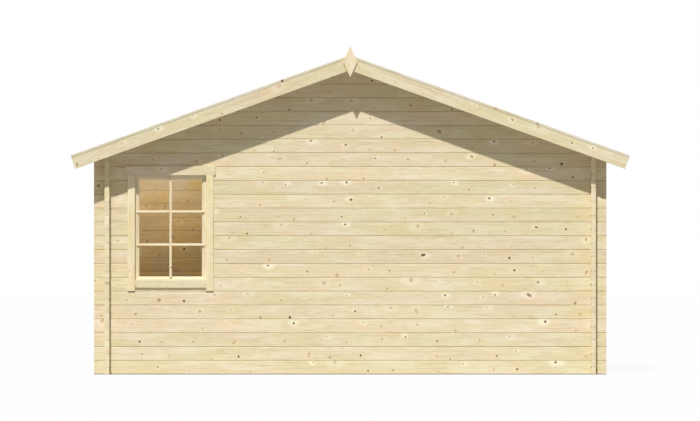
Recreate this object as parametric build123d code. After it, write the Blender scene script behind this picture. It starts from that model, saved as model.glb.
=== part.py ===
from build123d import *
import os
from math import ceil, cos, radians, sin, tan

# A garage of interlocking spruce logs. Sizes are in millimetres, angles in degrees.
# X runs across the gables, Y from the window gable to the door gable, and Z up from the ground.

# Walls of stacked logs
wall_width = 4718.0  # over the outer faces of the two side walls
wall_length = 5718.0  # over the outer faces of the two gable walls
log_thickness = 45.0
log_height = 133.0  # one course, from joint to joint
log_end_length = 103.0  # how far a log runs on past the wall that it crosses
side_courses = 16  # whole logs in a side wall, on top of its half log
edge_chamfer = 6.0  # half of the V joint between two logs
tongue_width = 15.0
tongue_height = 9.0
joint_play = 0.5  # room round tongues and in notches and pockets

# Roof
roof_pitch = 19.7
roof_board_thickness = 19.0
gable_overhang = 330.0  # roof boards past the outer face of a gable wall
eaves_overhang = 315.0  # roof boards past the outer face of a side wall, level
purlin_thickness = 45.0
purlin_depth = 90.0
ridge_purlin_depth = 120.0
upper_purlin_offset = 650.0  # from the ridge, level
lower_purlin_offset = 1395.0
eaves_lath_width = 45.0
eaves_lath_thickness = 20.0
smallest_gable_rise = 25.0  # no gable course is started closer than this to the ridge

# Trim of a gable end
barge_board_width = 115.0
barge_board_thickness = 20.0
cover_lath_width = 48.0
cover_lath_thickness = 24.0
cover_lath_nosing = 8.0  # how far the lath stands out past the barge board
finial_width = 140.0
finial_height = 300.0
finial_thickness = 20.0
finial_drop = 40.0  # its middle, below the top of the ridge

# Window in the first gable wall
window_from_corner = 633.0  # its middle, from the outer face of the left wall
window_sill_height = 900.0
window_width = 685.0  # clear, between the linings
window_height = 1015.0
window_lining_thickness = 20.0
window_lining_depth = 90.0
sash_setback = 44.0  # its front, behind the outer face of the wall
sash_thickness = 40.0
sash_flat_width = 20.0
sash_bevel_width = 21.0
sash_bevel_depth = 14.0
glass_thickness = 4.0
glass_setback = 17.0  # behind the front of the sash
glass_edge_cover = 8.0
glass_play = 0.25
window_casing_thickness = 18.0
side_casing_width = 70.0
side_casing_drop = 98.0  # how far it runs down past the clear opening
head_casing_width = 90.0
head_casing_horn = 21.5  # how far it stands out past a side casing
sill_board_width = 80.0
sill_board_thickness = 21.0
sill_board_lap = 10.0  # how far it stands up in front of the clear opening

# Doorway in the second gable wall
door_width = 2400.0  # clear, between the jambs
door_courses = 16  # courses that the doorway cuts through
door_jamb_thickness = 40.0
door_jamb_depth = 65.0
door_casing_width = 90.0
door_casing_thickness = 18.0
leaf_board_thickness = 20.0
leaf_gap = 4.0
leaf_ground_gap = 15.0
ledge_width = 120.0
ledge_thickness = 22.0
ledge_end_gap = 60.0  # between the end of a ledge and the edge of the leaf
ledge_inset = 160.0  # from the top or bottom of the leaf to a ledge
meeting_lath_width = 60.0
meeting_lath_thickness = 15.0
hinge_strap_length = 450.0
hinge_strap_width = 45.0
hinge_tip_width = 24.0
hinge_plate_height = 100.0
hinge_plate_width = 50.0
hinge_steel_thickness = 4.0
hinge_barrel_radius = 8.0
handle_height = 1050.0
handle_plate_width = 42.0
handle_plate_height = 200.0
handle_plate_thickness = 6.0
handle_offset = 70.0  # from the middle of the doorway
lever_length = 125.0
lever_radius = 9.0
lever_standoff = 48.0  # axis of the lever, out from the leaf

# Values worked out from the sizes above
half_width = wall_width / 2
half_length = wall_length / 2
half_log = log_thickness / 2
slope = radians(roof_pitch)
side_wall_top = (side_courses + 0.5) * log_height
ridge_underside = side_wall_top + (half_width - log_thickness) * tan(slope)
ridge_top = ridge_underside + roof_board_thickness / cos(slope)
slope_length = (half_width + eaves_overhang) / cos(slope)
roof_end = half_length + gable_overhang
notch_depth = log_height / 2 + tongue_height + joint_play
door_height = door_courses * log_height - door_jamb_thickness
window_x = window_from_corner - half_width
window_top = window_sill_height + window_height

nodes = {}


def block(x_span, y_span, z_span):
    """A square block between two places on each axis."""
    low = Vector(x_span[0], y_span[0], z_span[0])
    high = Vector(x_span[1], y_span[1], z_span[1])
    size = high - low
    return Location((low + high) / 2) * Box(size.X, size.Y, size.Z)


def prism_along_y(outline, y_span):
    """An outline of (x, z) points, drawn out from one y to another."""
    face = make_face(Polyline(*outline, close=True))
    return extrude(Plane.XZ.offset(-y_span[1]) * face, amount=y_span[1] - y_span[0])


def prism_along_x(outline, x_span):
    """An outline of (y, z) points, drawn out from one x to another."""
    face = make_face(Polyline(*outline, close=True))
    return extrude(Plane.YZ.offset(x_span[0]) * face, amount=x_span[1] - x_span[0])


def roof_point(along, below):
    """A point (x, z) of the right slope: so far down it, and so far square below its top."""
    x = along * cos(slope) - below * sin(slope)
    z = ridge_top - along * sin(slope) - below * cos(slope)
    return x, z


def roof_layer(first_depth, last_depth):
    """Outline of a layer of the right slope, plumb at the ridge and square at the eaves."""
    return [
        (0, ridge_top - first_depth / cos(slope)),
        roof_point(slope_length, first_depth),
        roof_point(slope_length, last_depth),
        (0, ridge_top - last_depth / cos(slope)),
    ]


def roof_underside(x):
    return ridge_underside - abs(x) * tan(slope)


def place(name, *shapes):
    """Files one or more solids under the name of a node."""
    solids = [solid for shape in shapes for solid in shape.solids()]
    nodes.setdefault(name, []).extend(solids)


def both_sides(name, shape):
    """Files a right-hand piece and its mirror image as two nodes."""
    place("right_" + name, shape)
    place("left_" + name, mirror(shape, about=Plane.YZ))


def log_outline(centre, bottom, height=log_height, on_ground=False, tongued=True):
    """Section of a log: V-jointed edges, a groove below and a tongue above."""
    top = bottom + height
    left = centre - half_log
    right = centre + half_log
    groove = tongue_width / 2 + joint_play
    groove_top = bottom + tongue_height + joint_play
    tongue = tongue_width / 2
    points = []
    if on_ground:
        points += [(left, bottom), (right, bottom)]
    else:
        points += [(left, bottom + edge_chamfer), (left + edge_chamfer, bottom)]
        points += [(centre - groove, bottom), (centre - groove, groove_top)]
        points += [(centre + groove, groove_top), (centre + groove, bottom)]
        points += [(right - edge_chamfer, bottom), (right, bottom + edge_chamfer)]
    if tongued:
        points += [(right, top - edge_chamfer), (right - edge_chamfer, top)]
        points += [(centre + tongue, top), (centre + tongue, top + tongue_height)]
        points += [(centre - tongue, top + tongue_height), (centre - tongue, top)]
        points += [(left + edge_chamfer, top), (left, top - edge_chamfer)]
    else:
        points += [(right, top), (left, top)]
    return points


def corner_notches(bottom, along_x):
    """The two notches in the underside of a log, where it straddles the walls that it crosses."""
    reach = (half_width if along_x else half_length) - half_log
    width = half_log + joint_play
    across = (-half_length - log_thickness, half_length + log_thickness)
    if not along_x:
        across = (-half_width - log_thickness, half_width + log_thickness)
    upright = (bottom - 1, bottom + notch_depth)
    for centre in (-reach, reach):
        along = (centre - width, centre + width)
        yield block(along, across, upright) if along_x else block(across, along, upright)


def side_log(course):
    """One log of the right wall. Course 0 is the half log on the ground."""
    is_half = course == 0
    is_top = course == side_courses
    bottom = 0 if is_half else (course - 0.5) * log_height
    height = log_height / 2 if is_half else log_height
    outline = log_outline(half_width - half_log, bottom, height, on_ground=is_half, tongued=not is_top)
    log = prism_along_y(outline, (-half_length - log_end_length, half_length + log_end_length))
    if not is_half:
        for notch in corner_notches(bottom, along_x=False):
            log -= notch
    return log - above_roof if is_top else log


def gable_log(course, centre, openings):
    """One log of a gable wall, cut to the roof, round its openings and for the purlins."""
    bottom = course * log_height
    in_gable = course >= side_courses
    reach = half_width - log_thickness - joint_play if in_gable else half_width + log_end_length
    log = prism_along_x(log_outline(centre, bottom), (-reach, reach))
    if not in_gable:
        for notch in corner_notches(bottom, along_x=True):
            log -= notch
    top = bottom + log_height + tongue_height
    if top > roof_underside(reach):
        log -= above_roof
        for pocket in purlin_pockets:
            log -= pocket
    for low, high, opening in openings:
        if low < top and high > bottom:
            log -= opening
    return log


def gable_wall(name, centre, openings):
    """A gable wall from the ground to the ridge. Every second log shares a node."""
    for course in range(ceil((ridge_underside - smallest_gable_rise) / log_height)):
        parity = "odd" if course % 2 else "even"
        place(f"{name}_{parity}_logs", gable_log(course, centre, openings))


def side_walls():
    for course in range(side_courses + 1):
        parity = "odd" if course % 2 else "even"
        both_sides(f"wall_{parity}_logs", side_log(course))


def purlin_outline(offset, depth, play=0.0):
    """Section of a purlin, its top planed to the roof. Play widens it into a pocket."""
    left = offset - purlin_thickness / 2 - play
    right = offset + purlin_thickness / 2 + play
    bottom = roof_underside(offset) - depth
    points = [(left, bottom), (right, bottom), (right, roof_underside(right))]
    if left < 0 < right:
        points.append((0, ridge_underside))
    points.append((left, roof_underside(left)))
    return points


def purlins():
    span = (-roof_end, roof_end)
    place("ridge_purlin", prism_along_y(purlin_outline(0, ridge_purlin_depth), span))
    for name, offset in (("upper_purlins", upper_purlin_offset), ("lower_purlins", lower_purlin_offset)):
        purlin = prism_along_y(purlin_outline(offset, purlin_depth), span)
        place(name, purlin, mirror(purlin, about=Plane.YZ))


def roof_boarding():
    both_sides("roof_boarding", prism_along_y(roof_layer(0, roof_board_thickness), (-roof_end, roof_end)))


def eaves_laths():
    """A lath under the lower ends of the roof boards, outside the side walls."""
    lower_face = roof_board_thickness + eaves_lath_thickness
    outline = [
        roof_point(slope_length, roof_board_thickness),
        roof_point(slope_length, lower_face),
        roof_point(slope_length - eaves_lath_width, lower_face),
        roof_point(slope_length - eaves_lath_width, roof_board_thickness),
    ]
    lath = prism_along_y(outline, (-roof_end, roof_end))
    place("eaves_laths", lath, mirror(lath, about=Plane.YZ))


def gable_trim(end_name, y_direction):
    """Barge boards, the laths that cover them, and the finial over their mitre."""

    def outward(start, finish):
        return tuple(sorted((y_direction * start, y_direction * finish)))

    barge_face = roof_end + barge_board_thickness
    lath_face = barge_face + cover_lath_nosing
    barge = prism_along_y(roof_layer(0, barge_board_width), outward(roof_end, barge_face))
    lath = prism_along_y(
        roof_layer(-cover_lath_thickness, 0),
        outward(lath_face - cover_lath_width, lath_face),
    )
    middle = ridge_top - finial_drop
    diamond = [
        (0, middle + finial_height / 2),
        (finial_width / 2, middle),
        (0, middle - finial_height / 2),
        (-finial_width / 2, middle),
    ]
    finial = prism_along_y(diamond, outward(barge_face, barge_face + finial_thickness))
    lath -= finial
    place(f"{end_name}_right_barge_board", barge)
    place(f"{end_name}_left_barge_board", mirror(barge, about=Plane.YZ))
    place(f"{end_name}_right_cover_lath", lath)
    place(f"{end_name}_left_cover_lath", mirror(lath, about=Plane.YZ))
    place(f"{end_name}_finial", finial)


def window_hole():
    """What the window's linings need cut out of the logs."""
    side = window_width / 2 + window_lining_thickness + joint_play
    bottom = window_sill_height - window_lining_thickness
    top = window_top + window_lining_thickness + joint_play
    depth = (-half_length - 1, -half_length + log_thickness + 1)
    return bottom, top, block((window_x - side, window_x + side), depth, (bottom, top))


def window_linings():
    depth = (-half_length, -half_length + window_lining_depth)
    inner = window_width / 2
    outer = inner + window_lining_thickness
    upright = (window_sill_height - window_lining_thickness, window_top + window_lining_thickness)
    for start, finish in ((-outer, -inner), (inner, outer)):
        place("window_side_linings", block((window_x + start, window_x + finish), depth, upright))
    level = (window_x - inner, window_x + inner)
    sill = (window_sill_height - window_lining_thickness, window_sill_height)
    head = (window_top, window_top + window_lining_thickness)
    place("window_sill_and_head_linings", block(level, depth, sill), block(level, depth, head))


def sash_outline(edge, direction, front):
    """Section of a sash member as (across, depth): a flat, a bevel and a groove for the glass."""
    bevel_start = sash_flat_width
    inner = sash_flat_width + sash_bevel_width
    groove_front = glass_setback
    groove_back = glass_setback + glass_thickness + 2 * glass_play
    section = [
        (0, 0),
        (bevel_start, 0),
        (inner, sash_bevel_depth),
        (inner, groove_front),
        (inner - glass_edge_cover, groove_front),
        (inner - glass_edge_cover, groove_back),
        (inner, groove_back),
        (inner, sash_thickness),
        (0, sash_thickness),
    ]
    return [(edge + direction * across, front + depth) for across, depth in section]


def window_sash():
    """Four mitred members round the glass, at the back of the linings."""
    front = -half_length + sash_setback
    left = window_x - window_width / 2 + joint_play
    right = window_x + window_width / 2 - joint_play
    bottom = window_sill_height
    top = window_top - joint_play
    mitre = sash_flat_width + sash_bevel_width
    depth = (front, front + sash_thickness)
    inner_left, inner_right = left + mitre, right - mitre
    inner_bottom, inner_top = bottom + mitre, top - mitre

    def upright_member(edge, direction, outline):
        face = make_face(Polyline(*sash_outline(edge, direction, front), close=True))
        return extrude(Plane.XY.offset(bottom) * face, amount=top - bottom) & prism_along_y(outline, depth)

    def level_member(edge, direction, outline):
        section = [(y, z) for z, y in sash_outline(edge, direction, front)]
        return prism_along_x(section, (left, right)) & prism_along_y(outline, depth)

    left_side = [(left, bottom), (inner_left, inner_bottom), (inner_left, inner_top), (left, top)]
    right_side = [(right, bottom), (inner_right, inner_bottom), (inner_right, inner_top), (right, top)]
    low_side = [(left, bottom), (right, bottom), (inner_right, inner_bottom), (inner_left, inner_bottom)]
    high_side = [(left, top), (right, top), (inner_right, inner_top), (inner_left, inner_top)]
    place("window_sash_stiles", upright_member(left, 1, left_side), upright_member(right, -1, right_side))
    place("window_sash_rails", level_member(bottom, 1, low_side), level_member(top, -1, high_side))

    pane_edge = glass_edge_cover - 2 * glass_play
    pane_front = front + glass_setback + glass_play
    place(
        "window_glass",
        block(
            (inner_left - pane_edge, inner_right + pane_edge),
            (pane_front, pane_front + glass_thickness),
            (inner_bottom - pane_edge, inner_top + pane_edge),
        ),
    )


def window_casings():
    """The boards round the window on the outer face of the wall."""
    depth = (-half_length - window_casing_thickness, -half_length)
    inner = window_width / 2
    outer = inner + side_casing_width
    upright = (window_sill_height - side_casing_drop, window_top)
    left_casing = block((window_x - outer, window_x - inner), depth, upright)
    right_casing = block((window_x + inner, window_x + outer), depth, upright)
    place("window_side_casings", left_casing, right_casing)
    head_reach = outer + head_casing_horn
    head_level = (window_x - head_reach, window_x + head_reach)
    place("window_head_casing", block(head_level, depth, (window_top, window_top + head_casing_width)))
    sill_top = window_sill_height + sill_board_lap
    sill_depth = (-half_length - sill_board_thickness, -half_length)
    sill_level = (window_x - inner, window_x + inner)
    place("window_sill_board", block(sill_level, sill_depth, (sill_top - sill_board_width, sill_top)))


def door_hole():
    """What the doorway's jambs and head need cut out of the logs."""
    side = door_width / 2 + door_jamb_thickness
    top = door_courses * log_height
    depth = (half_length - log_thickness - 1, half_length + 1)
    return -1, top, block((-side, side), depth, (-1, top))


def door_surround():
    """Jambs and head in the wall, and the casings on its outer face."""
    inner = door_width / 2
    outer = inner + door_jamb_thickness
    depth = (half_length - door_jamb_depth, half_length)
    jamb = block((inner, outer), depth, (0, door_height + door_jamb_thickness))
    place("door_jambs", jamb, mirror(jamb, about=Plane.YZ))
    place("door_head", block((-inner, inner), depth, (door_height, door_height + door_jamb_thickness)))
    face = (half_length, half_length + door_casing_thickness)
    casing_outer = inner + door_casing_width
    casing = block((inner, casing_outer), face, (0, door_height))
    place("door_side_casings", casing, mirror(casing, about=Plane.YZ))
    head_span = (door_height, door_height + door_casing_width)
    place("door_head_casing", block((-casing_outer, casing_outer), face, head_span))


def ledge_heights():
    """Middles of a leaf's three ledges. Its hinges sit on the same lines."""
    bottom = leaf_ground_gap
    top = door_height - leaf_gap
    reach = ledge_inset + ledge_width / 2
    return bottom + reach, (bottom + top) / 2, top - reach


def door_leaves():
    """Two boarded leaves, each with three ledges and two braces on its inner side."""
    face = half_length + door_casing_thickness
    back = face - leaf_board_thickness
    inner_edge = leaf_gap / 2
    outer_edge = door_width / 2 - leaf_gap
    bottom = leaf_ground_gap
    top = door_height - leaf_gap
    both_sides("door_leaf", block((inner_edge, outer_edge), (back, face), (bottom, top)))

    ledge_span = (inner_edge + ledge_end_gap, outer_edge - ledge_end_gap)
    ledge_depth = (back - ledge_thickness, back)
    half_ledge = ledge_width / 2
    low, middle, high = ledge_heights()
    for z in (low, middle, high):
        ledge = block(ledge_span, ledge_depth, (z - half_ledge, z + half_ledge))
        place("door_ledges", ledge, mirror(ledge, about=Plane.YZ))
    for foot, head in ((low + half_ledge, middle - half_ledge), (middle + half_ledge, high - half_ledge)):
        outline = [
            (ledge_span[1], foot),
            (ledge_span[1] - ledge_width, foot),
            (ledge_span[0], head),
            (ledge_span[0] + ledge_width, head),
        ]
        brace = prism_along_y(outline, ledge_depth)
        place("door_braces", brace, mirror(brace, about=Plane.YZ))

    half_lath = meeting_lath_width / 2
    lath_face = (face, face + meeting_lath_thickness)
    place("door_meeting_lath", block((-half_lath, half_lath), lath_face, (bottom, top)))


def door_hinges():
    """Strap hinges: a plate with its barrel on the casing, and a tapered strap on the leaf."""
    face = half_length + door_casing_thickness
    steel = (face, face + hinge_steel_thickness)
    pin_x = door_width / 2 - leaf_gap / 2
    barrel_axis = face + hinge_barrel_radius
    half_plate = hinge_plate_height / 2
    for z in ledge_heights():
        strap = [
            (pin_x, z - hinge_strap_width / 2),
            (pin_x, z + hinge_strap_width / 2),
            (pin_x - hinge_strap_length, z + hinge_tip_width / 2),
            (pin_x - hinge_strap_length, z - hinge_tip_width / 2),
        ]
        room = Pos(pin_x, barrel_axis, z) * Cylinder(hinge_barrel_radius + joint_play, hinge_plate_height)
        moving = prism_along_y(strap, steel) - room
        fixed = block((pin_x, pin_x + hinge_plate_width), steel, (z - half_plate, z + half_plate))
        fixed += Pos(pin_x, barrel_axis, z) * Cylinder(hinge_barrel_radius, hinge_plate_height)
        place("door_hinge_straps", moving, mirror(moving, about=Plane.YZ))
        place("door_hinge_plates", fixed, mirror(fixed, about=Plane.YZ))


def door_handle():
    """A lever on a back plate, on the right leaf."""
    face = half_length + door_casing_thickness
    half_plate = handle_plate_width / 2
    plate = block(
        (handle_offset - half_plate, handle_offset + half_plate),
        (face, face + handle_plate_thickness),
        (handle_height - handle_plate_height / 2, handle_height + handle_plate_height / 2),
    )
    from_its_end = (Align.CENTER, Align.CENTER, Align.MIN)
    spindle_plane = Plane(origin=(handle_offset, face, handle_height), z_dir=(0, 1, 0))
    spindle = spindle_plane * Cylinder(lever_radius, lever_standoff, align=from_its_end)
    lever_start = (handle_offset - lever_radius, face + lever_standoff, handle_height)
    lever_plane = Plane(origin=lever_start, z_dir=(1, 0, 0))
    lever = lever_plane * Cylinder(lever_radius, lever_length, align=from_its_end)
    place("door_handle", plate + spindle + lever)


above_roof = prism_along_y(
    [
        (0, ridge_underside),
        (wall_width, roof_underside(wall_width)),
        (wall_width, ridge_top + wall_width),
        (-wall_width, ridge_top + wall_width),
        (-wall_width, roof_underside(wall_width)),
    ],
    (-wall_length, wall_length),
)
purlin_pockets = [
    prism_along_y(purlin_outline(offset, depth, joint_play), (-roof_end, roof_end))
    for offset, depth in (
        (0, ridge_purlin_depth),
        (upper_purlin_offset, purlin_depth),
        (-upper_purlin_offset, purlin_depth),
        (lower_purlin_offset, purlin_depth),
        (-lower_purlin_offset, purlin_depth),
    )
]

side_walls()
gable_wall("window_wall", -half_length + half_log, [window_hole()])
gable_wall("door_wall", half_length - half_log, [door_hole()])
purlins()
roof_boarding()
eaves_laths()
gable_trim("window_end", -1)
gable_trim("door_end", 1)
window_linings()
window_sash()
window_casings()
door_surround()
door_leaves()
door_hinges()
door_handle()

os.makedirs("parts", exist_ok=True)
for node_name, node_solids in nodes.items():
    shape = node_solids[0] if len(node_solids) == 1 else Compound(node_solids)
    export_step(shape, f"parts/{node_name}.step")
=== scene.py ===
import math

import bpy
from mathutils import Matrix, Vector


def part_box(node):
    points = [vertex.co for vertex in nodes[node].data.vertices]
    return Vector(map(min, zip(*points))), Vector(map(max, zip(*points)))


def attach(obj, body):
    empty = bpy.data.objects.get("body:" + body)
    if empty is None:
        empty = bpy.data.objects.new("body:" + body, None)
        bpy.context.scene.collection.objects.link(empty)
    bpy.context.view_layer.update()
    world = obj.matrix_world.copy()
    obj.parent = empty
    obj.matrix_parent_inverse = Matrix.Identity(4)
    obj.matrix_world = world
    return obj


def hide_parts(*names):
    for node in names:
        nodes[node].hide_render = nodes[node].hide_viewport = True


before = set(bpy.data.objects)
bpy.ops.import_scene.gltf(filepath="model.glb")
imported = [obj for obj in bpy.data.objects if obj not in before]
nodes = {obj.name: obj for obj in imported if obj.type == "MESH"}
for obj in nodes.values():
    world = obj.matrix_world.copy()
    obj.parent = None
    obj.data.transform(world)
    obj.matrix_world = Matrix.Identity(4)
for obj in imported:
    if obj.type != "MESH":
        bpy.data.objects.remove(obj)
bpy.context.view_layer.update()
print("frame loaded:", len(nodes), "nodes")


# Places that several pieces share, in metres

wallLow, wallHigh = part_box("window_wall_even_logs")
roofLow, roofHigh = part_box("right_roof_boarding")
sashLow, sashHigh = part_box("window_sash_stiles")
leafLow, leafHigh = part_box("right_door_leaf")
windowMiddle = (sashLow.x + sashHigh.x) / 2
courseHeight = 0.133  # log joint to log joint
roofPitch = math.radians(19.7)
roofThickness = 0.019
slopeLength = (roofHigh.x - roofLow.x) / math.cos(roofPitch)
roofBoardCount = 54  # in one slope
roofBoardWidth = (roofHigh.y - roofLow.y) / roofBoardCount
bargeDepth = 0.115
lathDepth = 0.024  # of the laths on top of the barge boards
leafBoardCount = 12
leafBoardWidth = (leafHigh.x - leafLow.x) / leafBoardCount


# Wood

woodTones = {
    "early": (0.835, 0.722, 0.480),  # pale wood between the rings
    "late": (0.680, 0.545, 0.310),  # darker lines of the rings
    "streak": (0.825, 0.652, 0.385),  # warm resin streaks
    "pale": (0.880, 0.780, 0.560),  # slow pale patches
    "knot": (0.145, 0.076, 0.014),
    "trace": (0.470, 0.290, 0.080),  # a knot that only shows faintly
    "rim": (1.000, 0.925, 0.720),  # bright wood round a knot
    "yellow": (0.978, 1.000, 0.940),  # the two tones that a board drifts between
    "pink": (1.008, 0.989, 1.012),
    "joint": 0.86,  # painted shade in the joint between two boards
    "foot": 0.50,  # painted shadow along the lowest centimetre of a wall, where it meets the floor
    "endGrain": 1.05,  # tone of a sawn end against the face of a board
    "ringShare": 0.55,  # how strongly the rings show
    "rimShare": 0.70,
    "glowShare": 0.60,  # warm wood in a wide circle round a knot
}

# noises in a board: waves in a metre along, across and through it, detail and roughness
grainNoises = {
    "streak": ((1.5, 46.0, 30.0), 3.0, 0.60),
    "fibre": ((14.0, 520.0, 520.0), 2.0, 0.50),
    "line": ((1.7, 74.0, 50.0), 2.0, 0.55),
    "patch": ((2.2, 13.0, 4.0), 3.0, 0.60),
    "fleck": ((10.0, 84.0, 66.0), 2.0, 0.60),
}

# a noise tints the wood more or less between two of its levels: the levels, the amounts and the tone
grainLayers = (
    ("streak", 0.54, 0.74, 0.0, 0.70, "streak"),
    ("streak", 0.26, 0.44, 0.4, 0.0, "late"),
    ("line", 0.52, 0.70, 0.0, 0.75, "late"),
    ("line", 0.30, 0.46, 0.6, 0.0, "pale"),
    ("patch", 0.34, 0.56, 0.8, 0.0, "pale"),
    ("patch", 0.52, 0.68, 0.0, 0.50, "streak"),
    ("fleck", 0.54, 0.72, 0.0, 0.60, "late"),
    ("fleck", 0.28, 0.46, 0.5, 0.0, "pale"),
)

knotPlan = {
    "cell": 0.30,  # at most one knot in this length of a board
    "share": 0.80,  # of the cells that have one
    "dark": (0.20, 0.52),  # up to the first level it is dark, past the second a mere trace
    "radius": 0.0052,  # of the smallest
    "growth": 0.0075,  # how much larger the largest is
    "longest": 2.0,  # length to width of one that is cut lengthwise
    "outline": 70.0,  # waves of its outline in a metre
    "coreEnd": (0.55, 1.4),  # the knot itself fades out between these, in knot sizes
    "rimEnd": (1.0, 2.4),  # the bright wood round it
    "glowEnd": (1.5, 7.0),  # and the warm wood
    "rimOff": (0.036, 0.022),  # how far the bright wood may lie to one side, along and across
    "rimGrowth": 1.5,  # how much wider it is round some knots
    "rimFaint": 0.22,  # and how faint round the others
}

woodSurface = {
    "roughness": (0.60, 0.82),
    "specular": 0.25,
    "bump": 0.4,
    "bumpDepth": 0.0006,
    "drift": (1.1, 5.0, 7.3),  # slow waves in a metre along and across, and from board to board
}

ringPlan = {
    "width": 0.0052,  # from ring to ring
    "heartDepth": 0.10,  # of the tree's heart behind the face
    "heartSpread": 0.09,
    "bend": 0.035,  # of the tree, along a board
    "sway": 0.007,
    "swirl": 0.008,  # round a knot
}


def makeMaterial(name):
    material = bpy.data.materials.new(name)
    material.use_nodes = True
    tree = material.node_tree
    tree.nodes.clear()
    output = tree.nodes.new("ShaderNodeOutputMaterial")
    shader = tree.nodes.new("ShaderNodeBsdfPrincipled")
    tree.links.new(shader.outputs["BSDF"], output.inputs["Surface"])
    return material, tree, shader


def feed(tree, socket, value):
    # a socket takes either another socket or a plain value
    if isinstance(value, bpy.types.NodeSocket):
        tree.links.new(value, socket)
    else:
        socket.default_value = value


def calc(tree, operation, first, second=0.0, third=0.0):
    node = tree.nodes.new("ShaderNodeMath")
    node.operation = operation
    for socket, value in zip(node.inputs, (first, second, third)):
        feed(tree, socket, value)
    return node.outputs[0]


def band(tree, value, low, high, toLow=0.0, toHigh=1.0):
    # smooth step from one level to another
    node = tree.nodes.new("ShaderNodeMapRange")
    node.interpolation_type = "SMOOTHSTEP"
    for key, number in zip(("From Min", "From Max", "To Min", "To Max"), (low, high, toLow, toHigh)):
        node.inputs[key].default_value = number
    feed(tree, node.inputs["Value"], value)
    return node.outputs["Result"]


def blendColours(tree, amount, first, second):
    node = tree.nodes.new("ShaderNodeMix")
    node.data_type = "RGBA"
    feed(tree, node.inputs[0], amount)
    for socket, colour in zip(node.inputs[6:8], (first, second)):
        feed(tree, socket, colour if isinstance(colour, bpy.types.NodeSocket) else (*colour, 1))
    return node.outputs[2]


def tinted(tree, colour, tint):
    node = tree.nodes.new("ShaderNodeVectorMath")
    node.operation = "MULTIPLY"
    feed(tree, node.inputs[0], colour)
    feed(tree, node.inputs[1], tint)
    return node.outputs[0]


def vector(tree, x, y, z):
    node = tree.nodes.new("ShaderNodeCombineXYZ")
    for socket, value in zip(node.inputs, (x, y, z)):
        feed(tree, socket, value)
    return node.outputs[0]


def stretched(tree, places, scales):
    # a place measured in another scale on each axis
    return vector(tree, *(calc(tree, "MULTIPLY", place, scale) for place, scale in zip(places, scales)))


def noise(tree, place, detail=2.0, roughness=0.5):
    node = tree.nodes.new("ShaderNodeTexNoise")
    node.inputs["Scale"].default_value = 1.0
    node.inputs["Detail"].default_value = detail
    node.inputs["Roughness"].default_value = roughness
    feed(tree, node.inputs["Vector"], place)
    return node.outputs["Fac"]


def chance(tree, place):
    # three random numbers for each place
    node = tree.nodes.new("ShaderNodeTexWhiteNoise")
    node.noise_dimensions = "3D"
    feed(tree, node.inputs["Vector"], place)
    split = tree.nodes.new("ShaderNodeSeparateColor")
    tree.links.new(node.outputs["Color"], split.inputs[0])
    return split.outputs


def addBump(tree, shader, height, strength, depth):
    bump = tree.nodes.new("ShaderNodeBump")
    bump.inputs["Strength"].default_value = strength
    bump.inputs["Distance"].default_value = depth
    tree.links.new(height, bump.inputs["Height"])
    tree.links.new(bump.outputs[0], shader.inputs["Normal"])


def farFrom(tree, first, second):
    squares = [calc(tree, "MULTIPLY", value, value) for value in (first, second)]
    return calc(tree, "SQRT", calc(tree, "ADD", *squares))


def grainAxes(tree, source, along, turn):
    # along the grain, across the board and through it
    coordinates = tree.nodes.new("ShaderNodeTexCoord")
    mapping = tree.nodes.new("ShaderNodeMapping")
    mapping.inputs["Rotation"].default_value = (0, turn, 0)
    tree.links.new(coordinates.outputs[source], mapping.inputs["Vector"])
    split = tree.nodes.new("ShaderNodeSeparateXYZ")
    tree.links.new(mapping.outputs["Vector"], split.inputs[0])
    return [split.outputs["XYZ".index(letter)] for letter in along]


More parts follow.
